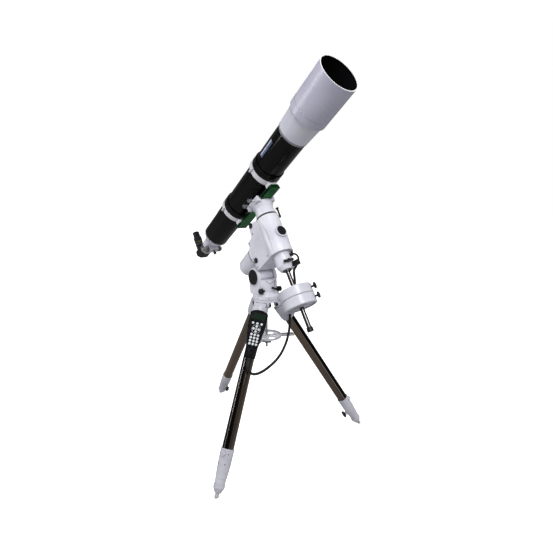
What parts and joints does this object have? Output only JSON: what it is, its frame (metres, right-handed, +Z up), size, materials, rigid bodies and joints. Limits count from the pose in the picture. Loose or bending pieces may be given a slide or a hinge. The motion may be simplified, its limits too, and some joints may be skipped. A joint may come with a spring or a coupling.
{
  "type": "refractor telescope",
  "caption": "Refractor telescope in hinged rings on a driven equatorial head with sliding counterweights, a steel tripod with spreader tray and a wired hand controller.",
  "frame": {"origin": "on the floor, under the azimuth axis of the mount", "axes": "+Z up; +X the heading the polar axis and the telescope's front end point to; +Y to the left of that heading"},
  "size_m": [1.104, 0.7676, 1.4642],
  "materials": {
    "white_paint": "glossy white enamel over a fine cast texture",
    "shield_paint": "smooth gloss pearl white",
    "black_gloss": "gloss black paint with fine metallic flake",
    "black_plastic": "moulded matt black",
    "handset_plastic": "fine textured black with a green display window",
    "keys": "light grey rubberised keys",
    "leg_steel": "bright drawn steel tube that mirrors its surroundings",
    "silver_paint": "satin silver enamel",
    "chrome": "polished chrome plate",
    "steel": "turned steel",
    "brass": "machined bronze",
    "green_anodised": "bright green anodised extrusion",
    "glass": "coated optical glass",
    "rubber": "soft black rubber",
    "aluminium": "turned aluminium",
    "weight_paint": "white enamel over turned cast iron",
    "eyepiece_black": "black anodised with rubber grip"
  },
  "bodies": {
    "hub": {"tripod_hub": "white_paint", "hinge_bolts": "black_plastic", "centre_rod": "steel"},
    "tray": {"spreader_tray": "silver_paint"},
    "tray_nut": {"tray_knob": "black_plastic"},
    "front_leg": {"front_leg_socket": "silver_paint", "front_leg_tube": "leg_steel", "front_leg_clamp": "white_paint", "handset_case": "handset_plastic", "handset_cable": "rubber"},
    "front_foot": {"front_lower_leg": "white_paint"},
    "front_knob": {"front_leg_knob": "black_plastic"},
    "right_leg": {"right_leg_socket": "silver_paint", "right_leg_tube": "leg_steel", "right_leg_clamp": "white_paint"},
    "right_foot": {"right_lower_leg": "white_paint"},
    "right_knob": {"right_leg_knob": "black_plastic"},
    "rear_leg": {"rear_leg_socket": "silver_paint", "rear_leg_tube": "leg_steel", "rear_leg_clamp": "white_paint"},
    "rear_foot": {"rear_lower_leg": "white_paint"},
    "rear_knob": {"rear_leg_knob": "black_plastic"},
    "keys": {"handset_keys": "keys"},
    "azimuth": {"azimuth_base": "white_paint", "altitude_caps": "black_plastic"},
    "azimuth_screws": {"azimuth_bolts": "black_plastic"},
    "altitude": {"polar_housing": "white_paint", "polar_end_cap": "white_paint", "ra_worm_wheel": "brass"},
    "altitude_screws": {"altitude_bolts": "black_plastic"},
    "ra": {"declination_housing": "white_paint", "housing_plugs": "black_plastic", "ra_shaft": "steel"},
    "ra_worm_body": {"ra_worm": "steel"},
    "declination": {"declination_head": "white_paint", "declination_shaft": "steel"},
    "dec_worm_body": {"declination_worm": "steel"},
    "ra_clutch": {"ra_clutch_lever": "black_plastic"},
    "dec_clutch": {"declination_clutch_lever": "black_plastic"},
    "shaft_lock": {"shaft_lock_knob": "black_plastic"},
    "cw_shaft": {"counterweight_shaft": "chrome", "toe_stop": "black_plastic"},
    "weight_a": {"upper_weight": "weight_paint"},
    "weight_a_knob": {"upper_weight_knob": "black_plastic"},
    "weight_b": {"lower_weight": "weight_paint"},
    "weight_b_knob": {"lower_weight_knob": "black_plastic"},
    "saddle_jaw": {"saddle_clamp": "white_paint"},
    "telescope": {"dovetail_bar": "green_anodised", "ring_bases": "white_paint", "main_tube": "black_gloss", "lens_cell": "white_paint", "objective_lenses": "glass", "dew_shield": "shield_paint", "focuser_body": "white_paint"},
    "front_ring": {"front_ring_top": "white_paint"},
    "rear_ring": {"rear_ring_top": "white_paint"},
    "draw": {"drawtube": "chrome"},
    "focus_wheel": {"focus_knobs": "aluminium"},
    "diagonal": {"star_diagonal": "black_plastic"},
    "ocular": {"eyepiece": "eyepiece_black"}
  },
  "joints": [
    {"name": "tray_drop", "type": "slide", "parent": "hub", "child": "tray", "axis": [0, 0, -1], "range_m": [0, 0.02]},
    {"name": "tray_knob_turn", "type": "hinge", "parent": "tray", "child": "tray_nut", "pos_m": [0, 0, 0.45], "axis": [0, 0, 1], "range_deg": [-180, 180]},
    {"name": "front_leg_fold", "type": "hinge", "parent": "hub", "child": "front_leg", "pos_m": [0.02, -0.03464, 0.6], "axis": [0.866, 0.5, 0], "range_deg": [0, 3.6]},
    {"name": "front_leg_extend", "type": "slide", "parent": "front_leg", "child": "front_foot", "axis": [0.2668, -0.4621, -0.8457], "range_m": [0, 0.3]},
    {"name": "front_leg_knob_turn", "type": "hinge", "parent": "front_leg", "child": "front_knob", "pos_m": [0.19509, -0.33791, 0.06935], "axis": [-0.4229, 0.7324, -0.5336], "range_deg": [-180, 180]},
    {"name": "right_leg_fold", "type": "hinge", "parent": "hub", "child": "right_leg", "pos_m": [0.02, 0.03464, 0.6], "axis": [-0.866, 0.5, 0], "range_deg": [0, 3.6]},
    {"name": "right_leg_extend", "type": "slide", "parent": "right_leg", "child": "right_foot", "axis": [0.2668, 0.4621, -0.8457], "range_m": [0, 0.3]},
    {"name": "right_leg_knob_turn", "type": "hinge", "parent": "right_leg", "child": "right_knob", "pos_m": [0.19509, 0.33791, 0.06935], "axis": [-0.4229, -0.7324, -0.5336], "range_deg": [-180, 180]},
    {"name": "rear_leg_fold", "type": "hinge", "parent": "hub", "child": "rear_leg", "pos_m": [-0.04, 0, 0.6], "axis": [0, -1, 0], "range_deg": [0, 3.6]},
    {"name": "rear_leg_extend", "type": "slide", "parent": "rear_leg", "child": "rear_foot", "axis": [-0.5336, 0, -0.8457], "range_m": [0, 0.3]},
    {"name": "rear_leg_knob_turn", "type": "hinge", "parent": "rear_leg", "child": "rear_knob", "pos_m": [-0.39019, 0, 0.06935], "axis": [0.8457, 0, -0.5336], "range_deg": [-180, 180]},
    {"name": "handset_key_press", "type": "slide", "parent": "front_leg", "child": "keys", "axis": [-0.7699, 0.4256, -0.4755], "range_m": [0, 0.0015]},
    {"name": "azimuth_turn", "type": "hinge", "parent": "hub", "child": "azimuth", "pos_m": [0, 0, 0.624], "axis": [0, 0, 1], "range_deg": [-7, 7]},
    {"name": "azimuth_bolt_travel", "type": "slide", "parent": "azimuth", "child": "azimuth_screws", "axis": [0, 1, 0], "range_m": [-0.004, 0.004]},
    {"name": "altitude_tilt", "type": "hinge", "parent": "azimuth", "child": "altitude", "pos_m": [-0.027, 0, 0.711], "axis": [0, -1, 0], "range_deg": [-18, 28]},
    {"name": "altitude_bolt_travel", "type": "slide", "parent": "azimuth", "child": "altitude_screws", "axis": [1, 0, 0], "range_m": [-0.0175, 0.0225]},
    {"name": "right_ascension", "type": "hinge", "parent": "altitude", "child": "ra", "pos_m": [0.058, 0, 0.881], "axis": [0.829, 0, 0.5592], "range_deg": [-90, 90]},
    {"name": "ra_worm_spin", "type": "hinge", "parent": "ra", "child": "ra_worm_body", "pos_m": [-0.00594, 0, 0.78444], "axis": [0, 1, 0], "range_deg": [-12200, 12200]},
    {"name": "declination_turn", "type": "hinge", "parent": "ra", "child": "declination", "pos_m": [0.058, 0, 0.881], "axis": [-0.5592, 0, 0.829], "range_deg": [-90, 90]},
    {"name": "declination_worm_spin", "type": "hinge", "parent": "ra", "child": "dec_worm_body", "pos_m": [-0.01951, 0, 0.90954], "axis": [0, 1, 0], "range_deg": [-12200, 12200]},
    {"name": "ra_clutch", "type": "hinge", "parent": "altitude", "child": "ra_clutch", "pos_m": [-0.04638, 0, 0.79612], "axis": [-0.2625, 0.8829, 0.3892], "range_deg": [-30, 30]},
    {"name": "declination_clutch", "type": "hinge", "parent": "ra", "child": "dec_clutch", "pos_m": [0.01438, 0, 0.94566], "axis": [0.5104, 0.788, 0.3443], "range_deg": [-25, 25]},
    {"name": "shaft_lock_turn", "type": "hinge", "parent": "ra", "child": "shaft_lock", "pos_m": [0.12622, 0, 0.77986], "axis": [0.8008, -0.2588, 0.5401], "range_deg": [-180, 180]},
    {"name": "shaft_retract", "type": "slide", "parent": "ra", "child": "cw_shaft", "axis": [-0.5592, 0, 0.829], "range_m": [0, 0.03]},
    {"name": "upper_weight_slide", "type": "slide", "parent": "cw_shaft", "child": "weight_a", "axis": [-0.5592, 0, 0.829], "range_m": [0, 0.04]},
    {"name": "lower_weight_slide", "type": "slide", "parent": "cw_shaft", "child": "weight_b", "axis": [0.5592, 0, -0.829], "range_m": [0, 0.075]},
    {"name": "upper_weight_knob_turn", "type": "hinge", "parent": "weight_a", "child": "weight_a_knob", "pos_m": [0.19486, 0, 0.67809], "axis": [0.6791, 0.5736, 0.4581], "range_deg": [-180, 180]},
    {"name": "lower_weight_knob_turn", "type": "hinge", "parent": "weight_b", "child": "weight_b_knob", "pos_m": [0.21667, 0, 0.64576], "axis": [0.6791, 0.5736, 0.4581], "range_deg": [-180, 180]},
    {"name": "saddle_clamp_open", "type": "slide", "parent": "declination", "child": "saddle_jaw", "axis": [0, -1, 0], "range_m": [0, 0.003]},
    {"name": "balance_slide", "type": "slide", "parent": "declination", "child": "telescope", "axis": [0.829, 0, 0.5592], "range_m": [-0.04, 0.08]},
    {"name": "front_ring_open", "type": "hinge", "parent": "telescope", "child": "front_ring", "pos_m": [-0.00304, -0.068, 1.14138], "axis": [0.829, 0, 0.5592], "range_deg": [0, 70]},
    {"name": "rear_ring_open", "type": "hinge", "parent": "telescope", "child": "rear_ring", "pos_m": [-0.22771, -0.068, 0.98984], "axis": [0.829, 0, 0.5592], "range_deg": [0, 70]},
    {"name": "focus_travel", "type": "slide", "parent": "telescope", "child": "draw", "axis": [-0.829, 0, -0.5592], "range_m": [0, 0.07]},
    {"name": "focus_knob_turn", "type": "hinge", "parent": "telescope", "child": "focus_wheel", "pos_m": [-0.47204, 0, 0.78161], "axis": [0, 1, 0], "range_deg": [-505, 5]},
    {"name": "diagonal_turn", "type": "hinge", "parent": "draw", "child": "diagonal", "pos_m": [-0.56596, 0, 0.76169], "axis": [0.829, 0, 0.5592], "range_deg": [-90, 90]},
    {"name": "eyepiece_lift", "type": "slide", "parent": "diagonal", "child": "ocular", "axis": [-0.5592, 0, 0.829], "range_m": [0, 0.02]}
  ],
  "couplings": [
    {"joint": "front_leg_fold", "follows": "tray_drop", "rad_per_m": 3},
    {"joint": "right_leg_fold", "follows": "tray_drop", "rad_per_m": 3},
    {"joint": "rear_leg_fold", "follows": "tray_drop", "rad_per_m": 3},
    {"joint": "azimuth_bolt_travel", "follows": "azimuth_turn", "m_per_rad": -0.028},
    {"joint": "altitude_bolt_travel", "follows": "altitude_tilt", "m_per_rad": 0.043},
    {"joint": "ra_worm_spin", "follows": "right_ascension", "ratio": 135},
    {"joint": "declination_worm_spin", "follows": "declination_turn", "ratio": 135},
    {"joint": "focus_knob_turn", "follows": "focus_travel", "rad_per_m": -125}
  ]
}
